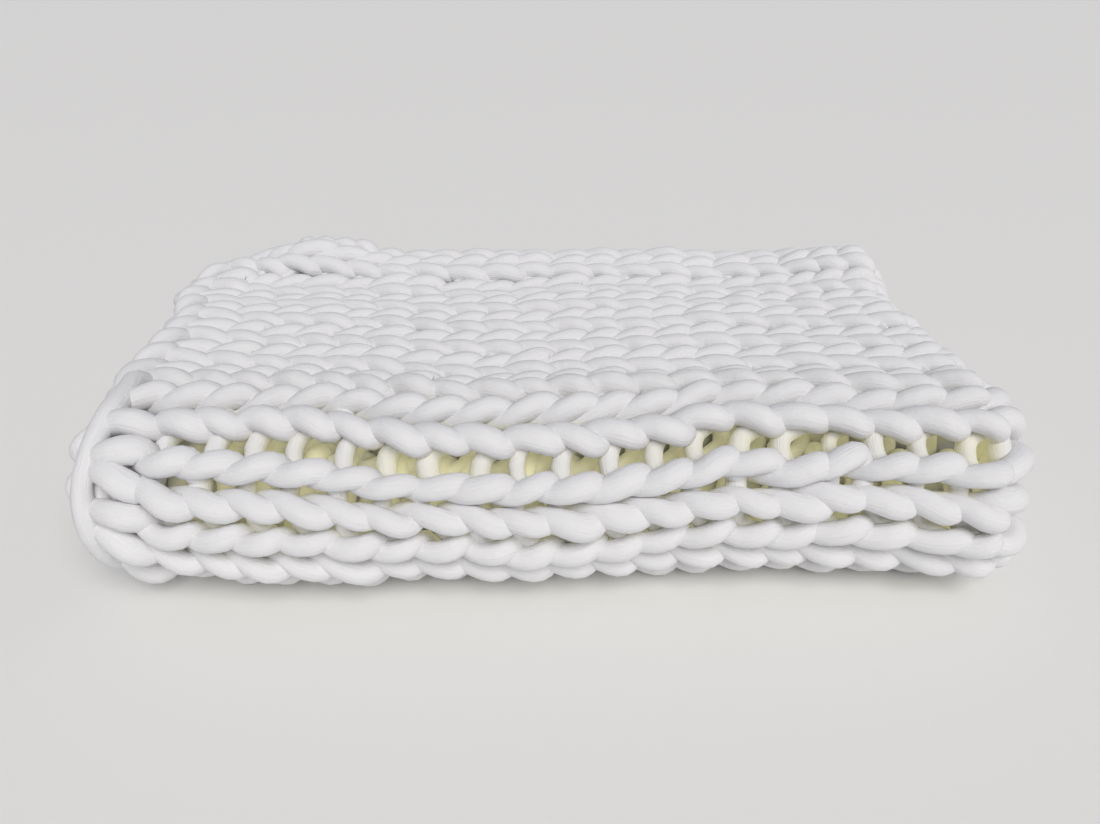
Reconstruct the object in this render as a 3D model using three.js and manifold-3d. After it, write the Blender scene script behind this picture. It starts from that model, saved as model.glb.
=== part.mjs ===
// A chunky knit throw, folded in four: once across its length, with that fold at the right, and once
// along it, with that fold at the front. Its four cast-on and bind-off edges lie at the left, its four
// selvedges at the back. Millimetres, +Z up. The origin lies under the middle of the folded throw, on
// the surface that it rests on. The rows of stitches run along X and are raised on the top and front.

import * as THREE from 'three';
import Module from 'manifold-3d';

// The knit
const stitchLength = 35.2;  // one V along its column
const layerThickness = 39;  // one layer of knit, between the tops of its legs and the backs of its loops
const legLean = 1.3;  // how far a leg runs along its column while it crosses half of it, in stitches
const legCrest = 2;  // a leg's highest point above the layer's face
const columnGroove = 8;  // depth of the groove between two columns
const foldGroove = 12;  // the same groove where the front fold stretches it open
const legStep = 6;  // how far a leg's start lies below its broad end

// The fold
const layerGap = 2.5;  // between the two layers of a pair
const middleGap = 4;  // between the upper and the lower pair
const length = 744;  // along X
const depth = 486;  // along Y
const columnsAbove = 7.83;  // columns of stitches on the flat top, and as many underneath
const columnsInFold = 4.4;  // columns round the front fold
const edgeRound = 18;  // rounding of each layer's free edges
const mouth = 13;  // how far the gap opens there, each way
const rimKnot = 2.5;  // relief of the cast-on edge

const pairHalf = layerThickness + layerGap / 2;
const foldRadius = pairHalf + middleGap / 2;
const height = 2 * (pairHalf + foldRadius);
const lowerPairTop = 2 * pairHalf;
const leftEnd = -length / 2;
const rightFold = length / 2 - pairHalf;
const backEnd = depth / 2;
const frontFold = -depth / 2 + height / 2;
const flatRun = backEnd - frontFold;
const columnsInAll = 2 * columnsAbove + columnsInFold;

// How the real throw departs from an even fold. Each row lifts or lowers the upper layers round a
// place on top, and fades with the reach given in X and Y.
const lifts = [
  { place: 'right back corner', x: 345, y: 205, reachX: 80, reachY: 70, lift: 14 },
  { place: 'left back corner', x: -300, y: 222, reachX: 90, reachY: 45, lift: 9 },
  { place: 'back border left of the middle', x: -110, y: 228, reachX: 110, reachY: 36, lift: 7 },
  { place: 'back border right of the middle', x: 130, y: 228, reachX: 110, reachY: 36, lift: 7 },
  { place: 'hollow behind the front roll', x: 0, y: -72, reachX: 420, reachY: 26, lift: -4 },
  { place: 'hollow before the back border', x: 0, y: 160, reachX: 420, reachY: 20, lift: -4 },
  { place: 'left rim', x: -365, y: 30, reachX: 34, reachY: 190, lift: 10 },
  { place: 'right fold', x: 360, y: 20, reachX: 60, reachY: 170, lift: 7 },
];
const flatTop = { lowered: 12, from: -128, to: -78, until: 168, back: 212 };

// How far the left and the right side lie out from an even fold, along the depth.
const sides = [
  { y: -243, left: -4, right: -3 },
  { y: -165, left: -6, right: 2 },
  { y: -70, left: 12, right: 20 },
  { y: 30, left: 14, right: 8 },
  { y: 130, left: 37, right: 10 },
  { y: 200, left: 30, right: 26 },
  { y: 243, left: 12, right: 16 },
];

// Each row pushes a place of the outside along X and Y.
const pushes = [
  { place: 'front below, left', x: -210, y: -235, z: 25, reach: 100, alongX: 0, alongY: -11 },
  { place: 'front below, middle', x: 0, y: -235, z: 30, reach: 90, alongX: 0, alongY: -4 },
  { place: 'front below, right', x: 230, y: -235, z: 20, reach: 130, alongX: 0, alongY: 8 },
  { place: 'right end below', x: 365, y: -215, z: 25, reach: 75, alongX: 9, alongY: -10 },
  { place: 'right end of the front roll', x: 372, y: -165, z: 150, reach: 60, alongX: 6, alongY: 0 },
  { place: 'back border, middle', x: 20, y: 243, z: 120, reach: 130, alongX: 0, alongY: 5 },
];
const rowWave = { height: 5, length: 420, second: 3, secondLength: 190 };

function smooth(from, to, value) {
  const t = Math.min(1, Math.max(0, (value - from) / (to - from)));
  return t * t * (3 - 2 * t);
}

function bell(distance, reach) {
  return Math.exp(-((distance / reach) ** 2));
}

// A value of a table along y, eased from row to row.
function alongDepth(table, name, y) {
  const next = table.findIndex((row) => row.y > y);
  if (next < 0) return table[table.length - 1][name];
  if (next === 0) return table[0][name];
  const before = table[next - 1];
  const after = table[next];
  return before[name] + (after[name] - before[name]) * smooth(before.y, after.y, y);
}

// Moves a point of the even fold to where it lies in the real one. The lower pair stays level.
function settle(point) {
  const { x, y, z } = point;
  const share = Math.max(0, (z - lowerPairTop) / (height - lowerPairTop));
  const between = smooth(flatTop.from, flatTop.to, y) * (1 - smooth(flatTop.until, flatTop.back, y));
  let lift = -flatTop.lowered * between;
  for (const row of lifts) {
    lift += row.lift * bell(x - row.x, row.reachX) * bell(y - row.y, row.reachY);
  }
  const outward = x < 0 ? -alongDepth(sides, 'left', y) : alongDepth(sides, 'right', y);
  let moveX = outward * (Math.abs(x) / (length / 2)) ** 2;
  let moveY = 0;
  for (const row of pushes) {
    const near = bell(Math.hypot(x - row.x, y - row.y, z - row.z), row.reach);
    moveX += row.alongX * near;
    moveY += row.alongY * near;
  }
  const inside = smooth(0, 60, backEnd - Math.abs(y));
  const wave = rowWave.height * Math.sin((2 * Math.PI * x) / rowWave.length)
    + rowWave.second * Math.sin((2 * Math.PI * x) / rowWave.secondLength + 1);
  moveY += wave * inside * share;
  return new THREE.Vector3(x + moveX, y + moveY, z + share * lift);
}

// The line midway between the two layers of a pair, from the upper back edge round the front to the
// lower back edge. It is measured in columns of stitches and gives a place and an outward direction.
function foldLine(column) {
  const above = column - columnsAbove;
  if (above < 0) {
    const y = backEnd - (column / columnsAbove) * flatRun;
    return { y, z: height / 2 + foldRadius, outY: 0, outZ: 1 };
  }
  if (above > columnsInFold) {
    const y = frontFold + ((above - columnsInFold) / columnsAbove) * flatRun;
    return { y, z: height / 2 - foldRadius, outY: 0, outZ: -1 };
  }
  const turn = (Math.PI * above) / columnsInFold;
  const outY = -Math.sin(turn);
  const outZ = Math.cos(turn);
  return { y: frontFold + foldRadius * outY, z: height / 2 + foldRadius * outZ, outY, outZ };
}

function onFoldLine(column, x, out) {
  const line = foldLine(column);
  return settle(new THREE.Vector3(x, line.y + out * line.outY, line.z + out * line.outZ));
}

// How far the rounded free edge draws in, at a distance from its end.
function drawnIn(distance) {
  if (distance >= edgeRound) return 0;
  const rest = edgeRound - Math.max(0, distance);
  return edgeRound - Math.sqrt(edgeRound ** 2 - rest ** 2);
}

function fromFreeEdge(column) {
  return (Math.min(column, columnsInAll - column) / columnsAbove) * flatRun;
}

// The stitches. Across a column, 1 is the groove beside it, 0 its middle, and 0.5 the top of a leg.
function acrossColumn(column) {
  return Math.abs(2 * (column - Math.floor(column)) - 1);
}

const legSteps = 3;  // points along one stitch
const legHeights = [0, 1, 0.8];  // of a leg at those points, from its tucked start
const straightRun = rightFold - leftEnd - edgeRound;
const turnRun = Math.PI * pairHalf;
const stitchesAlong = Math.round((straightRun + turnRun) / stitchLength);
const stitchRun = (straightRun + turnRun) / stitchesAlong;
const reliefEnd = columnsAbove + columnsInFold * 0.84;  // under the front, where the relief ends

function relief(column, step) {
  const across = acrossColumn(column);
  const ridge = across > 0.5 ? 2 - 2 * across : 0.35 + 1.3 * across;
  const inFold = bell(column - columnsAbove - 0.42 * columnsInFold, 1.6);
  const groove = columnGroove + (foldGroove - columnGroove) * inFold;
  const leg = legHeights[step % legSteps];
  const raised = -groove + ridge * (groove + legCrest - legStep * (1 - leg));
  const fade = smooth(-0.02, 0.3, column) * (1 - smooth(reliefEnd - 0.7, reliefEnd, column));
  return raised * fade;
}

// One ring of points round a pair of layers, at one column: over the outer face, round the right fold,
// back along the inner face and round the left edges.
const innerFace = [0.5, 0];

function ringAt(column) {
  const shrink = drawnIn(fromFreeEdge(column));
  const half = pairHalf - shrink;
  const start = leftEnd + edgeRound;
  const ring = [];
  const across = acrossColumn(column);
  const steps = stitchesAlong * legSteps;
  for (let step = 0; step <= steps; step += 1) {
    const stitch = step / legSteps;
    const fade = Math.min(stitch / 2, 1, (stitchesAlong - stitch) / 2.3);
    const run = stitchRun * (stitch + legLean * across * fade);
    const edgeFade = smooth(0, 0.7, stitch) * (1 - smooth(stitchesAlong - 0.5, stitchesAlong, stitch));
    const raised = relief(column, step) * (step === 0 ? 0 : Math.max(edgeFade, 0.15));
    const turn = Math.max(0, (run - straightRun) / pairHalf);
    const x = turn > 0 ? rightFold + (half + raised) * Math.sin(turn) : start + run;
    ring.push(onFoldLine(column, x, (half + raised) * Math.cos(turn)));
  }
  for (const place of innerFace) {
    ring.push(onFoldLine(column, start + place * (rightFold - start), -half));
  }
  const knot = rimKnot * (1 - 4 * Math.abs(across - 0.5)) * smooth(0, 20, fromFreeEdge(column));
  const left = leftEnd + shrink - knot;
  const shoulder = half - edgeRound;
  for (const side of [-1, 1]) {
    const rim = [
      [left + 5, side * (half - 5)],
      [left, side * shoulder],
    ];
    if (side > 0) rim.reverse();
    for (const [x, out] of rim) ring.push(onFoldLine(column, x, out));
  }
  return ring;
}

function columnsOfRings() {
  const columns = [0, 0.09];
  for (let column = 0.25; column < reliefEnd; column += 0.25) columns.push(column);
  const foldEnd = columnsAbove + columnsInFold;
  columns.push(reliefEnd + 0.25, foldEnd - 0.35, foldEnd, foldEnd + columnsAbove / 2);
  columns.push(columnsInAll - 0.35, columnsInAll - 0.09, columnsInAll);
  return columns;
}

function geometryOf(points, faces) {
  const position = new Float32Array(points.flatMap((point) => [point.x, point.y, point.z]));
  const geometry = new THREE.BufferGeometry();
  geometry.setAttribute('position', new THREE.BufferAttribute(position, 3));
  geometry.setIndex(faces.flat());
  return geometry;
}

// Closes a row of rings of equal length into a solid, with a flat cap at each end.
function closedRings(rings, outline) {
  const around = rings[0].length;
  const faces = [];
  for (let row = 0; row < rings.length - 1; row += 1) {
    for (let spot = 0; spot < around; spot += 1) {
      const a = row * around + spot;
      const b = row * around + ((spot + 1) % around);
      faces.push([a, b + around, b], [a, a + around, b + around]);
    }
  }
  const last = (rings.length - 1) * around;
  const cap = THREE.ShapeUtils.triangulateShape(outline, []);
  for (const [a, b, c] of cap) {
    faces.push([c, b, a], [last + a, last + b, last + c]);
  }
  return geometryOf(rings.flat(), faces);
}

function pairSolid() {
  const rings = columnsOfRings().map(ringAt);
  const outline = rings[0].map((point) => new THREE.Vector2(point.x, point.z));
  return closedRings(rings, outline);
}

// The gap between the outer and the inner layer of the pair. It follows the fold line, opens at the
// left and at the back, and stops inside the right fold.
function gapSolid() {
  const mouthSteps = [-20, 0, 2, 6, 11, edgeRound];
  const innerStops = [0.25, 0.5, 0.75, 1];
  const start = leftEnd + edgeRound;
  const xs = [
    ...mouthSteps.map((step) => leftEnd + step),
    ...innerStops.map((stop) => start + stop * (rightFold - start)),
  ];
  const perColumn = columnsAbove / flatRun;
  const columns = mouthSteps.map((step) => step * perColumn);
  for (let column = 1; column < columnsInAll - 1; column += 0.75) columns.push(column);
  columns.push(...mouthSteps.map((step) => columnsInAll - step * perColumn).reverse());
  const rings = columns.map((column) => {
    const halfGap = xs.map((x) => {
      const distance = Math.min(fromFreeEdge(column), x - leftEnd);
      return layerGap / 2 + (mouth * drawnIn(distance)) / edgeRound;
    });
    const above = xs.map((x, index) => onFoldLine(column, x, halfGap[index]));
    const below = xs.map((x, index) => onFoldLine(column, x, -halfGap[index]));
    return [...above, ...below.reverse()];
  });
  const outline = rings[0].map((point) => new THREE.Vector2(point.x, point.z));
  return closedRings(rings, outline);
}

const wasm = await Module();
wasm.setup();

function manifoldOf(geometry) {
  const vertProperties = geometry.getAttribute('position').array;
  const triVerts = new Uint32Array(geometry.index.array);
  return new wasm.Manifold(new wasm.Mesh({ numProp: 3, vertProperties, triVerts }));
}

function cutGeometry(solid, cutter) {
  const mesh = manifoldOf(solid).subtract(manifoldOf(cutter)).getMesh();
  const geometry = new THREE.BufferGeometry();
  geometry.setAttribute('position', new THREE.BufferAttribute(mesh.vertProperties, 3));
  geometry.setIndex(new THREE.BufferAttribute(mesh.triVerts, 1));
  geometry.computeVertexNormals();
  return geometry;
}

const yarn = new THREE.MeshStandardMaterial({ color: 0xf1f0ea, roughness: 0.95, metalness: 0 });
const throwMesh = new THREE.Mesh(cutGeometry(pairSolid(), gapSolid()), yarn);
throwMesh.name = 'folded_throw';

// The origin goes under the middle of the settled throw.
throwMesh.geometry.computeBoundingBox();
const middle = throwMesh.geometry.boundingBox.getCenter(new THREE.Vector3());
throwMesh.position.set(-middle.x, -middle.y, 0);

const root = new THREE.Group();
root.add(throwMesh);

export default root;
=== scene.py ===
import math

import bpy
import numpy as np
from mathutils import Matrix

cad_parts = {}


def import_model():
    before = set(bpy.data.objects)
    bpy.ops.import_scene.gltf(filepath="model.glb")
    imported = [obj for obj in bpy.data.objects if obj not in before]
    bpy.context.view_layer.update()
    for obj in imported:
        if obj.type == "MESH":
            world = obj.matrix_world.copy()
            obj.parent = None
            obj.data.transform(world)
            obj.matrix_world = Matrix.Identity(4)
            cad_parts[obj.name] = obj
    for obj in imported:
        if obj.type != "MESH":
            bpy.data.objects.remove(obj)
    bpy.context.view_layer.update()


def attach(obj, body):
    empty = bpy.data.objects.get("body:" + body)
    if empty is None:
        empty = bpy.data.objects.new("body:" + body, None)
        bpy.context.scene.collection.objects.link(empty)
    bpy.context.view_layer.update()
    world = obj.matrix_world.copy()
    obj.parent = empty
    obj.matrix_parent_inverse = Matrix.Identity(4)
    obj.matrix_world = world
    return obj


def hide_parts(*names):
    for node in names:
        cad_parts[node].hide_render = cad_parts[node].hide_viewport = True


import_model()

mm = 0.001


# The folded cloth. These are the sizes of the solid, in millimetres
fold = {
    "layerThickness": 39,
    "layerGap": 2.5,
    "middleGap": 4,
    "length": 744,
    "depth": 486,
    "columnsAbove": 7.83,  # columns of stitches on the flat top, and as many underneath
    "columnsInFold": 4.4,  # round the front fold
    "middleX": -6.4,  # where the settled throw's middle lies in the even fold
    "middleY": -2.5,
}
pairHalf = fold["layerThickness"] + fold["layerGap"] / 2
foldRadius = pairHalf + fold["middleGap"] / 2
height = 2 * (pairHalf + foldRadius)
lowerPairTop = 2 * pairHalf
layerOut = (fold["layerThickness"] + fold["layerGap"]) / 2  # from the fold line to a layer's middle
leftEnd = -fold["length"] / 2
rightFold = fold["length"] / 2 - pairHalf
backEnd = fold["depth"] / 2
frontFold = -fold["depth"] / 2 + height / 2
flatRun = backEnd - frontFold
columnsInAll = 2 * fold["columnsAbove"] + fold["columnsInFold"]

# How the real throw departs from an even fold. First the places that lift or sink, in mm of the even
# fold. They act in full on the top, and less and less down to the lower pair of layers
lifts = [
    # x, y, reach along x, reach along y, lift
    (345, 205, 80, 70, 17),  # right back corner
    (-296, 226, 78, 42, 29),  # near the left back corner
    (-382, 221, 42, 26, -32),  # the corner's tip
    (-110, 228, 110, 36, 7),  # back border, left of the middle
    (130, 228, 110, 36, 7),  # back border, right of the middle
    (0, -72, 420, 26, -4),  # hollow behind the front roll
    (0, 160, 420, 30, -1),  # hollow before the back border
    (-365, 30, 34, 190, 10),  # left rim
    (360, 20, 60, 170, 7),  # right fold
]
# The middle of the top lies lower than the front roll and the back border
flatTop = {"lowered": 12, "from": -128, "to": -78, "until": 140, "back": 225}
# How far the two ends lie out, from the front to the back
sides = [
    # y, left end, right end
    (-243, -1, -3),
    (-165, 0, 8),
    (-70, 17, 34),
    (30, 24, 32),
    (130, 53, 28),
    (205, 56, 42),
    (227, -22, 41),
    (243, -34, 40),
]
# Places that lie pushed to a side
pushes = [
    # x, y, z, reach, along x, along y
    (-410, -235, 20, 50, 9, 6),  # front below, left end
    (-210, -235, 25, 110, 0, -15),  # front below, left
    (-20, -235, 30, 95, 0, -7),  # front below, middle
    (230, -235, 20, 130, 0, 7),  # front below, right
    (365, -215, 25, 75, 18, -10),  # right end below
    (372, -165, 150, 60, 12, 0),  # right end of the front roll
    (372, -215, 95, 45, -10, 0),  # right end of the front, middle
    (20, 243, 120, 130, 0, 5),  # back border, middle
]
# The rows run in slow waves, which die out towards the back and the front
rowWave = {
    "height": 5,
    "length": 420,
    "second": 3,
    "secondLength": 190,
    "secondStart": 1,  # radians
    "fadeWidth": 60,
}


# From 0 at low to 1 at high, with no kinks
def smooth(low, high, value):
    t = np.clip((value - low) / (high - low), 0, 1)
    return t * t * (3 - 2 * t)


# From 1 in the middle to almost nothing at twice the reach
def bell(distance, reach):
    return np.exp(-((distance / reach) ** 2))


# How far an end lies out at a depth: 1 is the left end, 2 the right one
def alongDepth(side, y):
    result = np.full_like(y, float(sides[0][side]))
    for before, after in zip(sides, sides[1:]):
        share = smooth(before[0], after[0], y)
        result = np.where(y >= before[0], before[side] + (after[side] - before[side]) * share, result)
    return result


# Reads a column of a table whose first column rises
def along(table, place, column):
    return np.interp(place, [row[0] for row in table], [row[column] for row in table])


# Moves points of the even fold to where they lie in the real one
def settle(points):
    x, y, z = points.T
    share = np.maximum(0, (z - lowerPairTop) / (height - lowerPairTop))
    between = smooth(flatTop["from"], flatTop["to"], y) * (1 - smooth(flatTop["until"], flatTop["back"], y))
    lift = -flatTop["lowered"] * between
    for placeX, placeY, reachX, reachY, rise in lifts:
        lift = lift + rise * bell(x - placeX, reachX) * bell(y - placeY, reachY)
    outward = np.where(x < 0, -alongDepth(1, y), alongDepth(2, y))
    moveX = outward * (np.abs(x) / (fold["length"] / 2)) ** 2
    moveY = np.zeros_like(y)
    for placeX, placeY, placeZ, reach, alongX, alongY in pushes:
        near = bell(np.sqrt((x - placeX) ** 2 + (y - placeY) ** 2 + (z - placeZ) ** 2), reach)
        moveX = moveX + alongX * near
        moveY = moveY + alongY * near
    inside = smooth(0, rowWave["fadeWidth"], backEnd - np.abs(y))
    wave = rowWave["height"] * np.sin(2 * np.pi * x / rowWave["length"])
    secondTurn = 2 * np.pi * x / rowWave["secondLength"] + rowWave["secondStart"]
    wave = wave + rowWave["second"] * np.sin(secondTurn)
    moveY = moveY + wave * inside * share
    return np.stack([x + moveX, y + moveY, z + share * lift], axis=1)


# The line midway between the two layers of a pair, from the upper back edge round the front
def foldLine(column):
    above = column - fold["columnsAbove"]
    turn = np.clip(above / fold["columnsInFold"], 0, 1) * np.pi
    outY = -np.sin(turn)
    outZ = np.cos(turn)
    beforeFold = -np.minimum(above, 0) / fold["columnsAbove"] * flatRun
    afterFold = np.maximum(above - fold["columnsInFold"], 0) / fold["columnsAbove"] * flatRun
    y = frontFold + foldRadius * outY + beforeFold + afterFold
    z = height / 2 + foldRadius * outZ
    return y, z, outY, outZ


# The knit. A course is one row of loops from selvedge to selvedge, and a column is the loops of all
# the courses above one another. Places across the cloth are counted in columns, from the upper back
# edge, and places along it in stitches, from the cast-on end
knit = {
    "stitches": 42,  # along the cloth's length
    "columns": 19,  # across its width
    "rimInset": 17,  # mm from the solid's left end to the first stitch
    "foldStitches": 2.4,  # stitches that the right fold takes
    "loopReach": 0.94,  # half a loop's height, in stitches
    "insideFrom": 23,  # the first course of the inner layer
    "turnsCloser": 0.06,  # how much closer the steps lie where a leg turns in
    "randomSeed": 7,
}
# A leg's way from behind the edge of its column to behind the column's middle, in six even steps.
# Its start lies tucked and thin under its neighbour, its end is broad and lies on top. The other leg
# of the loop comes back as its mirror image.
legWay = [
    # along (share of the reach), across (share of the swing), out (share of the depth), thickness
    (-1.0, 0.0, -1.0, 0.8),
    (-0.87, 1.0, -0.85, 0.74),
    (-0.5, 1.1, -0.25, 0.8),
    (0.0, 0.5, 0.75, 0.97),
    (0.5, -0.6, 1.0, 1.05),
    (0.84, -1.2, 0.1, 0.97),
    (1.0, 0.0, -1.0, 0.8),
]
# How the stitches differ across the cloth
stitchShape = [
    # column, swing of a leg across its column (columns), depth to the legs (mm), leg radius (mm)
    (-0.5, 0.16, 6.0, 10.6),
    (1, 0.16, 6.0, 10.8),
    (2.2, 0.17, 5.2, 10.0),
    (6, 0.17, 5.2, 10.0),
    (7.2, 0.15, 8.0, 10.4),
    (7.75, 0.15, 8.5, 10.4),
    (8.25, 0.145, 9.0, 9.8),
    (8.75, 0.15, 9.0, 10.0),
    (9.25, 0.14, 8.5, 9.2),
    (10, 0.14, 10.0, 9.1),
    (11.5, 0.14, 10.5, 9.3),
    (13, 0.14, 8.5, 10.2),
]
# Where the yarn lies thicker: round the right fold and in the first stitches at the left end. Inside
# the folded cloth it also spreads, and so fills the cloth behind the gaps of the front
plump = {
    "fold": 0.12,  # shares of the radius
    "foldReach": 1.6,  # stitches
    "start": 0.1,
    "startReach": 1.2,
    "insideSwing": 1.35,
    "insideRadius": 1.15,
}
# Where the columns begin on the fold line: they are drawn wider over the front fold
columnPlaces = [
    # column, place on the fold line
    (-0.5, -0.1),
    (0, 0.3),
    (1, 1.15),
    (2, 2.17),
    (3, 3.2),
    (4, 4.33),
    (5, 5.35),
    (6, 6.3),
    (7, 7.62),
    (7.6, 8.5),
    (8, 9.12),
    (8.4, 9.62),
    (9, 10.25),
    (10, 11.4),
    (11, 12.5),
    (19, 20),
]
# How far the columns stray across the cloth from left to right, in columns
columnDrift = [
    # x, drift
    (-372, -0.36),
    (-300, -0.4),
    (-230, -0.38),
    (-150, -0.22),
    (-90, -0.12),
    (-40, -0.06),
    (30, -0.06),
    (90, -0.16),
    (140, -0.34),
    (190, -0.27),
    (240, -0.33),
    (330, -0.33),
    (400, -0.28),
]
# Rows that lie lower (or higher) in places over the front fold, in columns
rowShifts = [
    # x, column, reach along x, reach across the columns, shift
    (-372, 7.6, 130, 0.5, 0.2),
    (376, 8.25, 34, 0.35, 0.2),
    (376, 7.3, 34, 0.35, -0.1),
]
# Where the drift comes in and dies out across the columns, and how the lowest columns of the front
# end: they rise at its left end and sink at its right end
frontEnds = {
    "driftIn": (1, 4.5),  # columns
    "driftOut": (9, 11),
    "rise": 0.48,  # columns
    "riseX": (-285, -350),
    "riseColumns": (7.6, 9.6),
    "sink": 0.16,
    "sinkX": (250, 340),
    "sinkColumns": (8, 9),
    "underside": (11, 13),
}
# Over the front fold the inner layer lies deeper in, further from the outer one
innerDeeper = {"by": 7, "column": 10, "reach": 2.6}
# The stitches of the back border are drawn longer, most of all in its middle
border = {"longer": 0.15, "full": 1.5, "gone": 4}
straightStitches = (knit["stitches"] - knit["foldStitches"]) / 2
firstX = leftEnd + knit["rimInset"]
stitchPitch = (rightFold - firstX) / straightStitches


# Where the inner layer's columns lie on the fold line: evenly along its own shorter way
def innerColumn(column):
    innerArc = np.pi * (foldRadius - layerOut)
    way = column / columnsInAll * (2 * flatRun + innerArc)
    before = np.minimum(way, flatRun) / flatRun * fold["columnsAbove"]
    within = np.clip(way - flatRun, 0, innerArc) / innerArc * fold["columnsInFold"]
    after = np.maximum(way - flatRun - innerArc, 0) / flatRun * fold["columnsAbove"]
    return before + within + after


# The column's place once it has strayed. Both layers stray alike, because they lie on one another
def drifted(stitch, column):
    folded = np.minimum(stitch, 2 * straightStitches + knit["foldStitches"] - stitch)
    x = firstX + folded * stitchPitch
    drift = along(columnDrift, x, 1) * smooth(*frontEnds["driftIn"], column)
    drift = drift * (1 - smooth(*frontEnds["driftOut"], column))
    rise = frontEnds["rise"] * smooth(*frontEnds["riseX"], x)
    rise = rise * smooth(*frontEnds["riseColumns"], column)
    sink = frontEnds["sink"] * smooth(*frontEnds["sinkX"], x)
    sink = sink * smooth(*frontEnds["sinkColumns"], column)
    drift = drift + (sink - rise) * (1 - smooth(*frontEnds["underside"], column))
    for placeX, placeColumn, reachX, reachColumn, shift in rowShifts:
        drift = drift + shift * bell(x - placeX, reachX) * bell(column - placeColumn, reachColumn)
    return column + drift


# A place in the cloth, given as stitches along it, columns across it and mm out of it
def inCloth(stitch, column, out):
    across = along(columnPlaces, drifted(stitch, column), 1)
    turn = np.clip((stitch - straightStitches) / knit["foldStitches"], 0, 1) * np.pi
    inner = innerColumn(across)
    place = across + (inner - across) * (1 - np.cos(turn)) / 2
    y, z, outY, outZ = foldLine(place)
    before = np.minimum(stitch - straightStitches, 0) * stitchPitch
    after = np.maximum(stitch - straightStitches - knit["foldStitches"], 0) * stitchPitch
    deeper = innerDeeper["by"] * (1 - np.cos(turn)) / 2
    out = out + deeper * bell(across - innerDeeper["column"], innerDeeper["reach"])
    x = rightFold + before - after
    middle = 1 - np.minimum(1, (x / rightFold) ** 2)
    longer = 1 + border["longer"] * middle * (1 - smooth(border["full"], border["gone"], column))
    x = x * longer + (layerOut + out) * np.sin(turn)
    away = (layerOut + out) * np.cos(turn)
    return settle(np.stack([x, y + away * outY, z + away * outZ], axis=1))


# The direction out of the cloth, from the places close by. Known fault: beyond the first and the last
# row of columnPlaces the places stand still, so the selvedge turns get no direction and their points
# are not numbers.
def outOfCloth(stitch, column, out):
    step = 0.02
    alongCloth = inCloth(stitch + step, column, out) - inCloth(stitch - step, column, out)
    acrossCloth = inCloth(stitch, column + step, out) - inCloth(stitch, column - step, out)
    normal = np.cross(acrossCloth, alongCloth)
    return normal / np.linalg.norm(normal, axis=1, keepdims=True)


# Random values per half stitch, blended along the course
chance = np.random.default_rng(knit["randomSeed"])
halfStitches = knit["columns"] * 2 + 1


def uneven(size):
    return chance.normal(0, size, (knit["stitches"], halfStitches + 2))


unevenness = {
    "along": uneven(0.08),  # stitches
    "across": uneven(0.035),  # columns
    "out": uneven(1.8),  # mm
    "radius": uneven(0.075),  # share of the radius
}


def blended(values, half):
    low = np.clip(np.floor(half).astype(int), 0, len(values) - 2)
    share = half - low
    share = share * share * (3 - 2 * share)
    return values[low] * (1 - share) + values[low + 1] * share


# A smooth curve through the leg's way and its mirror image, at places counted in loops
def loopWay(loops):
    leg = np.array(legWay)
    points = np.concatenate([leg, leg[-2:0:-1] * [1, -1, 1, 1]])
    place = loops * len(points)
    at = np.floor(place).astype(int)
    share = (place - at)[:, None]
    before, first, second, after = (points[(at + step) % len(points)] for step in (-1, 0, 1, 2))
    slope = second - before
    bend = 2 * before - 5 * first + 4 * second - after
    twist = 3 * first - before - 3 * second + after
    return (first + (slope * share + bend * share**2 + twist * share**3) / 2).T


# One course of loops, from the upper selvedge at the back, where half a loop shows, to the lower one
def coursePath(course, steps):
    loops = np.linspace(-0.5, knit["columns"], int((knit["columns"] + 0.5) * steps) + 1)
    loops = loops + knit["turnsCloser"] * np.sin(2 * np.pi * loops)
    forward, sideways, raised, thickness = loopWay(loops)
    half = 2 * loops + 1
    swing, depth, legRadius = (along(stitchShape, loops, value) for value in (1, 2, 3))
    if course >= knit["insideFrom"]:
        swing = swing * plump["insideSwing"]
        legRadius = legRadius * plump["insideRadius"]
    pastFold = course + 0.5 - straightStitches - knit["foldStitches"] / 2
    legRadius = legRadius * (1 + plump["fold"] * bell(pastFold, plump["foldReach"]))
    legRadius = legRadius * (1 + plump["start"] * bell(course, plump["startReach"]))
    stitch = course + 0.5 + knit["loopReach"] * forward + blended(unevenness["along"][course], half)
    column = loops + swing * sideways + blended(unevenness["across"][course], half)
    out = depth * raised + blended(unevenness["out"][course], half)
    radius = legRadius * thickness * (1 + blended(unevenness["radius"][course], half))
    return stitch, column, out, radius


# Where the yarn would turn back into the next course. See the fault that outOfCloth names
selvedge = {"lowerBulge": 0.28, "upperBulge": 0.12, "out": -5.0, "radius": 8}  # columns, then mm


def selvedgeTurn(course, atEnd, steps):
    turn = np.linspace(0, np.pi, steps + 2)[1:-1]
    bulge = np.sin(turn)
    if atEnd:
        column = knit["columns"] + selvedge["lowerBulge"] * bulge
    else:
        column = -0.5 - selvedge["upperBulge"] * bulge
    reach = -knit["loopReach"] if atEnd else knit["loopReach"]
    stitch = course + 0.5 + reach + (1 - np.cos(turn)) / 2
    out = np.full_like(turn, selvedge["out"])
    radius = np.full_like(turn, selvedge["radius"])
    return stitch, column, out, radius


# The yarn through several courses, to and fro
def bandPath(first, last, steps):
    parts = []
    for course in range(first, last):
        path = coursePath(course, steps)
        atEnd = course % 2 == 0
        if not atEnd:
            path = tuple(values[::-1] for values in path)
        parts.append(path)
        if course + 1 < last:
            parts.append(selvedgeTurn(course, atEnd, steps // 2))
    return tuple(np.concatenate(values) for values in zip(*parts))


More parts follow.
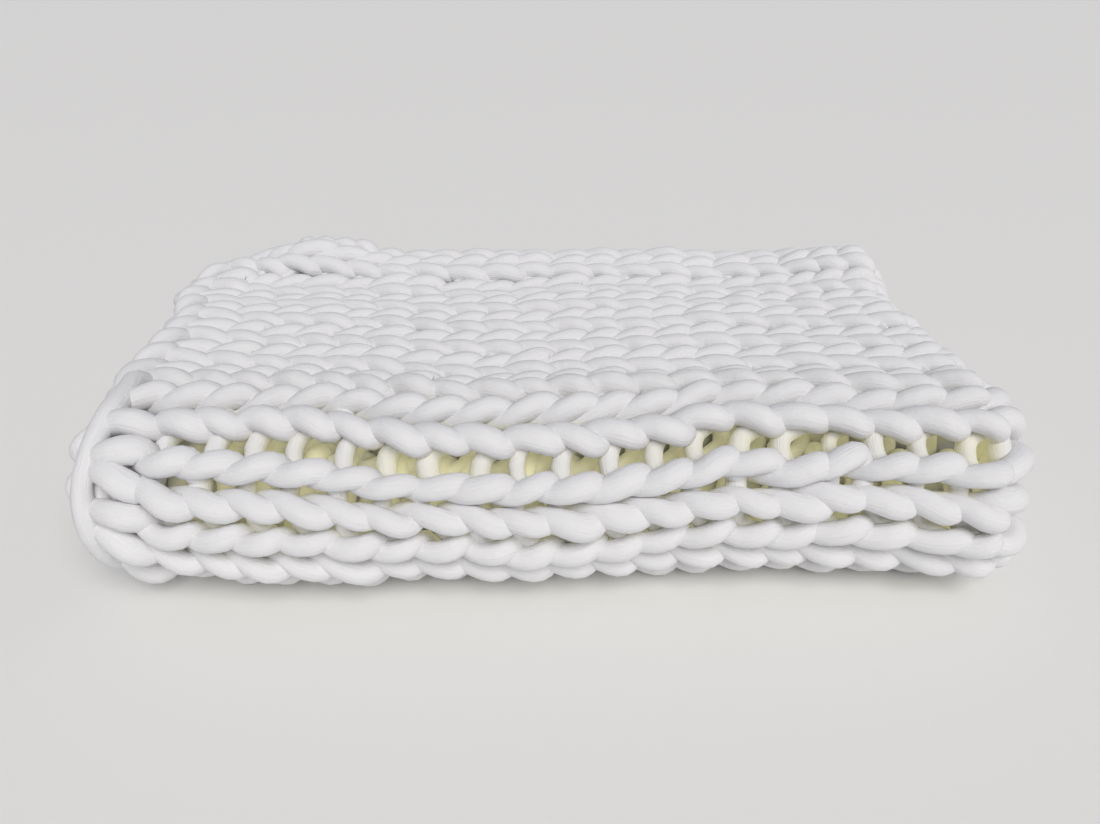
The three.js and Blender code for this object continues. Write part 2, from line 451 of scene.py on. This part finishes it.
# How far the edge ropes have twisted, in half turns: hardly at all over the front fold, where one
# strand lies smooth along the edge
ropeTwist = [
    # column, half turns
    (-0.4, -3.6),
    (7.0, 7.35),
    (10.8, 7.85),
    (12.4, 9.4),
    (19, 16),
]


rope = {
    "from": -0.4,  # columns
    "shortOfEnd": 0.02,
    "twistWidth": 0.22,  # stitches
    "twistDepth": 7.5,  # mm
    "wobble": 0.05,  # stitches
    "wobblePace": 2.3,  # radians a column
    "radius": 10.2,  # mm, of a strand
    "swelling": 0.7,
    "swellingPace": 3.1,
    "frontThinner": 2.2,  # mm thinner over the front fold
    "frontColumn": 9,
    "frontReach": 1.8,
    "topThinner": (6, 3),  # a millimetre thinner towards the back of the top
    "steps": 12,  # a column
    "around": 12,
}


# An edge rope: two strands twisted round each other along the cast-on or the bound-off end
def ropePath(stitch, phase):
    count = knit["columns"] * rope["steps"] + 1
    column = np.linspace(rope["from"], knit["columns"] - rope["shortOfEnd"], count)
    turn = np.pi * along(ropeTwist, column, 1) + phase
    wobble = rope["wobble"] * np.sin(rope["wobblePace"] * column + phase)
    place = stitch + rope["twistWidth"] * np.cos(turn) + wobble
    out = rope["twistDepth"] * np.sin(turn)
    radius = rope["radius"] + rope["swelling"] * np.sin(rope["swellingPace"] * column + phase)
    radius = radius - rope["frontThinner"] * bell(column - rope["frontColumn"], rope["frontReach"])
    radius = radius - smooth(*rope["topThinner"], column)
    return place, column, out, radius


# Yarn pressed on the surface that it rests on goes flat there
resting = {"low": 0.2, "soft": 3.0}  # mm


def pressed(z):
    edge = resting["low"] + resting["soft"]
    flat = resting["low"] + resting["soft"] * np.exp((np.minimum(z, edge) - edge) / resting["soft"])
    return np.where(z > edge, z, flat)


# How deep in the cloth a place lies, as the mask for painted warm light: a warmer, lighter tint and a
# painted glow in the deep places, standing in for light bounced and let through there. From 0 on top of the
# legs to 1 behind the loops of the drawn front fold. It is shallower elsewhere, and 0 at the cloth's two
# ends
tucked = {
    "top": 12,  # mm out of the layer's middle
    "range": 28,
    "ends": (-0.2, 2.4),  # stitches from an end
    "drawnFrom": (5.5, 7.5),  # columns
    "drawnTo": (11, 13),
    "elsewhere": 0.3,
}


def tuckedDepth(stitch, column, out, radius, angle):
    rimOut = out[:, None] + radius[:, None] * np.cos(angle)[None, :]
    outerEnd, innerStart = tucked["ends"]
    atLast = smooth(knit["stitches"] - innerStart, knit["stitches"] - outerEnd, stitch)
    within = smooth(outerEnd, innerStart, stitch) * (1 - atLast)
    drawn = smooth(*tucked["drawnFrom"], column) * (1 - smooth(*tucked["drawnTo"], column))
    share = within * (tucked["elsewhere"] + (1 - tucked["elsewhere"]) * drawn)
    return np.clip((tucked["top"] - rimOut) / tucked["range"], 0, 1) * share[:, None]


capLength = 0.5  # of a yarn's rounded end, as a share of its radius


# The yarn along a path, as rings of points joined by faces, with its own length for the fibres
def tube(name, path, around):
    stitch, column, out, radius = path
    centre = inCloth(stitch, column, out)
    normal = outOfCloth(stitch, column, out)
    ahead = np.gradient(centre, axis=0)
    ahead = ahead / np.linalg.norm(ahead, axis=1, keepdims=True)
    up = normal - ahead * np.sum(normal * ahead, axis=1, keepdims=True)
    up = up / np.linalg.norm(up, axis=1, keepdims=True)
    beside = np.cross(ahead, up)
    angle = np.arange(around) * 2 * np.pi / around
    rings = (
        centre[:, None, :]
        + radius[:, None, None] * np.cos(angle)[None, :, None] * up[:, None, :]
        + radius[:, None, None] * np.sin(angle)[None, :, None] * beside[:, None, :]
    )
    count = len(centre)
    startTip = centre[0] - ahead[0] * radius[0] * capLength
    endTip = centre[-1] + ahead[-1] * radius[-1] * capLength
    points = np.concatenate([rings.reshape(-1, 3), np.stack([startTip, endTip])])
    points[:, 2] = pressed(points[:, 2])
    points = (points - [fold["middleX"], fold["middleY"], 0]) * mm
    row = np.arange(count - 1)[:, None] * around
    spot = np.arange(around)[None, :]
    after = (spot + 1) % around
    quads = np.stack([row + spot, row + spot + around, row + after + around, row + after], axis=2)
    faces = [tuple(quad) for quad in quads.reshape(-1, 4).tolist()]
    sideFaces = len(faces)
    lastRow = (count - 1) * around
    startPoint = count * around
    for place in range(around):
        other = (place + 1) % around
        faces.append((startPoint, place, other))
        faces.append((startPoint + 1, lastRow + other, lastRow + place))
    mesh = bpy.data.meshes.new(name)
    mesh.from_pydata(points.tolist(), [], faces)
    mesh.polygons.foreach_set("use_smooth", [True] * len(mesh.polygons))
    # the yarn's length and the way round it. The last face of a ring closes it, so it ends at 1
    travelled = np.concatenate([[0], np.cumsum(np.linalg.norm(np.diff(centre, axis=0), axis=1))]) * mm
    uvLayer = mesh.uv_layers.new(name="yarn")
    loopVertex = np.zeros(len(mesh.loops), int)
    mesh.loops.foreach_get("vertex_index", loopVertex)
    loopFace = np.repeat(np.arange(len(mesh.polygons)), [len(face) for face in faces])
    ringOf = np.minimum(loopVertex // around, count - 1)
    spotOf = (loopVertex % around).astype(float)
    wraps = (loopFace < sideFaces) & (loopFace % around == around - 1) & (spotOf == 0)
    spotOf = np.where(wraps, around, spotOf)
    uv = np.stack([travelled[ringOf], spotOf / around], axis=1)
    uvLayer.data.foreach_set("uv", uv.ravel())
    # the mask for the painted warm tint and the painted glow of the deep places
    tuck = tuckedDepth(stitch, column, out, radius, angle)
    tuck = np.concatenate([tuck.ravel(), [tuck[0].mean(), tuck[-1].mean()]])
    paintedLightLayer = mesh.attributes.new("tuck", "FLOAT", "POINT")
    paintedLightLayer.data.foreach_set("value", tuck.astype(np.float32))
    piece = bpy.data.objects.new(name, mesh)
    bpy.context.scene.collection.objects.link(piece)
    return piece


# An sRGB hex colour as Blender's linear one
def linear(hexColor):
    channels = [int(hexColor[place:place + 2], 16) / 255 for place in (0, 2, 4)]
    return tuple(c / 12.92 if c <= 0.04045 else ((c + 0.055) / 1.055) ** 2.4 for c in channels) + (1,)


def addNode(tree, kind, settings=None, links=None):
    node = tree.nodes.new(kind)
    for name, value in (settings or {}).items():
        if name in node.inputs:
            node.inputs[name].default_value = value
        else:
            setattr(node, name, value)
    for name, source in (links or {}).items():
        tree.links.new(source, node.inputs[name])
    return node


# Brushed acrylic roving: loosely spun and brushed up, so its fibres run along the yarn and its skin is
# soft and matte. The fibres are drawn far coarser than real ones, which would be too fine to show
# Its deep places carry painted warm light: a lighter, warmer base colour and a painted glow.
roving = {
    "outside": "e6e6e8",  # off-white
    # painted warm light: the colour of the painted tint and of the painted glow in the deep places
    "tucked": "f4f1d0",  # the warm tint of the deep places
    "paintedTintFrom": 0.3,  # share of the depth
    "paintedGlow": 0.14,
    "paintedGlowFrom": 0.6,
    "yarnRadius": 0.011,  # metres, as are the next three
    "fibreWidth": 0.0014,
    "fibreLength": 0.04,
    "fibreHeight": 0.0016,
    "fibreStrength": 0.55,
    "lumpsPerMetre": 60.0,  # so a lump is about as long as the yarn is thick
    "lumpHeight": 0.004,
    "lumpStrength": 0.35,
    "roughness": 0.95,
    "specular": 0.15,
    "sheen": 0.06,
    "sheenRoughness": 0.6,
}


def brushedRoving():
    material = bpy.data.materials.new("brushedAcrylicRoving")
    material.use_nodes = True
    # the yarn carries a painted glow in its deep places, too faint to be sampled as a lamp
    material.cycles.emission_sampling = "NONE"  # its glow is too faint to be a lamp
    tree = material.node_tree
    tree.nodes.clear()
    uv = addNode(tree, "ShaderNodeUVMap", {"uv_map": "yarn"})
    fibresRound = 2 * math.pi * roving["yarnRadius"] / roving["fibreWidth"]
    stretched = addNode(
        tree,
        "ShaderNodeMapping",
        {"Scale": (1 / roving["fibreLength"], fibresRound, 1)},
        {"Vector": uv.outputs["UV"]},
    )
    fibres = addNode(
        tree,
        "ShaderNodeTexNoise",
        {"Scale": 1.0, "Detail": 3.0, "Roughness": 0.6},
        {"Vector": stretched.outputs["Vector"]},
    )
    place = addNode(tree, "ShaderNodeTexCoord")
    lumps = addNode(
        tree,
        "ShaderNodeTexNoise",
        {"Scale": roving["lumpsPerMetre"], "Detail": 3.0},
        {"Vector": place.outputs["Object"]},
    )
    bumpLumps = addNode(
        tree,
        "ShaderNodeBump",
        {"Strength": roving["lumpStrength"], "Distance": roving["lumpHeight"]},
        {"Height": lumps.outputs["Fac"]},
    )
    bump = addNode(
        tree,
        "ShaderNodeBump",
        {"Strength": roving["fibreStrength"], "Distance": roving["fibreHeight"]},
        {"Height": fibres.outputs["Fac"], "Normal": bumpLumps.outputs["Normal"]},
    )
    # painted bounce light: the deep places get a lighter, warmer base colour, standing in for light bounced
    # into them
    tuck = addNode(tree, "ShaderNodeAttribute", {"attribute_name": "tuck"})
    paintedTintRamp = addNode(tree, "ShaderNodeValToRGB", None, {"Fac": tuck.outputs["Fac"]})
    paintedTintRamp.color_ramp.elements[0].position = roving["paintedTintFrom"]
    paintedTintRamp.color_ramp.elements[0].color = linear(roving["outside"])
    paintedTintRamp.color_ramp.elements[1].position = 1.0
    paintedTintRamp.color_ramp.elements[1].color = linear(roving["tucked"])
    # painted glow: the deep places glow in the warm colour, standing in for light that the loose yarn lets
    # through
    paintedGlow = addNode(
        tree,
        "ShaderNodeMapRange",
        {"From Min": roving["paintedGlowFrom"], "From Max": 1.0, "To Min": 0.0, "To Max": roving["paintedGlow"]},
        {"Value": tuck.outputs["Fac"]},
    )
    shader = addNode(
        tree,
        "ShaderNodeBsdfPrincipled",
        {
            "Roughness": roving["roughness"],
            "Specular IOR Level": roving["specular"],
            "Sheen Weight": roving["sheen"],
            "Sheen Roughness": roving["sheenRoughness"],
            "Emission Color": linear(roving["tucked"]),
        },
        {
            "Base Color": paintedTintRamp.outputs["Color"],
            "Normal": bump.outputs["Normal"],
            "Emission Strength": paintedGlow.outputs["Result"],
        },
    )
    addNode(tree, "ShaderNodeOutputMaterial", None, {"Surface": shader.outputs["BSDF"]})
    return material


# The pieces. What shows has more points than what lies inside the folded cloth
bands = [
    # name, first course, course it stops before, steps a column, points round the yarn
    ("coursesLeft", 0, 8, 32, 16),
    ("coursesMiddle", 8, 16, 32, 16),
    ("coursesRight", 16, knit["insideFrom"], 32, 16),
    ("coursesInside", knit["insideFrom"], knit["stitches"], 18, 10),
]
ropes = [
    # name, stitch, where its strand starts round the rope
    ("castOnRopeOuter", 0.0, 0.0),
    ("castOnRopeInner", 0.0, math.pi),
    ("bindOffRopeOuter", knit["stitches"], 0.0),
    ("bindOffRopeInner", knit["stitches"], math.pi),
]
yarn = brushedRoving()
knitPieces = []
for name, first, last, steps, around in bands:
    knitPieces.append(tube(name, bandPath(first, last, steps), around))
for name, stitch, phase in ropes:
    knitPieces.append(tube(name, ropePath(stitch, phase), rope["around"]))
for piece in knitPieces:
    piece.data.materials.append(yarn)
    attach(piece, "root")
    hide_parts("folded_throw")
    print(piece.name, len(piece.data.loops) - 2 * len(piece.data.polygons), "triangles")


# The floor and the sky
studio = {
    "floor": "f2f2f0",
    "floorRoughness": 0.9,
    "size": 1500.0,  # metres, so that its edge lies near the horizon
    "sky": "edeefa",
    "skyStrength": 0.34,
}


def paleFloor():
    bpy.ops.object.select_all(action="DESELECT")
    bpy.ops.mesh.primitive_plane_add(size=studio["size"], location=(0, 0, 0))
    floor = bpy.context.active_object
    floor.name = "paleFloor"
    material = bpy.data.materials.new("palePaint")
    material.use_nodes = True
    shader = material.node_tree.nodes["Principled BSDF"]
    shader.inputs["Base Color"].default_value = linear(studio["floor"])
    shader.inputs["Roughness"].default_value = studio["floorRoughness"]
    floor.data.materials.append(material)


# A wide soft light far away, in front, above and a little to the right. Angles are in degrees
keyLight = {"fromRight": 20, "above": 45, "softness": 42, "strength": 2.12, "colour": "fffcf6"}


def softBox():
    data = bpy.data.lights.new("softBox", "SUN")
    data.angle = math.radians(keyLight["softness"])
    data.energy = keyLight["strength"]
    data.color = linear(keyLight["colour"])[:3]
    lamp = bpy.data.objects.new("softBox", data)
    bpy.context.scene.collection.objects.link(lamp)
    lamp.location = (1, -2, 3)  # its light is the same from everywhere
    lamp.rotation_euler = (math.radians(90 - keyLight["above"]), 0, math.radians(keyLight["fromRight"]))


def world():
    sky = bpy.data.worlds.new("studioSky")
    sky.use_nodes = True
    background = sky.node_tree.nodes["Background"]
    background.inputs["Color"].default_value = linear(studio["sky"])
    background.inputs["Strength"].default_value = studio["skyStrength"]
    bpy.context.scene.world = sky


paleFloor()
softBox()
world()
print("floor, light and sky are in place")

# The camera, solved from the photo's perspective: pixels, degrees, and metres from the throw's middle
view = {"focal": 786, "pictureWidth": 1100, "down": 27.7, "x": 0.0, "back": 0.7295, "up": 0.4453}


def photoCamera():
    data = bpy.data.cameras.new("photoCamera")
    data.sensor_width = 36
    data.lens = 36 * view["focal"] / view["pictureWidth"]
    data.clip_start = 0.01
    camera = bpy.data.objects.new("photoCamera", data)
    bpy.context.scene.collection.objects.link(camera)
    camera.location = (
        view["x"] - fold["middleX"] * mm,
        -view["back"] - fold["middleY"] * mm,
        view["up"],
    )
    camera.rotation_euler = (math.radians(90 - view["down"]), 0, 0)
    bpy.context.scene.camera = camera


photoCamera()
bpy.context.scene.view_settings.view_transform = "Standard"
print("camera stands at the photo's angle")
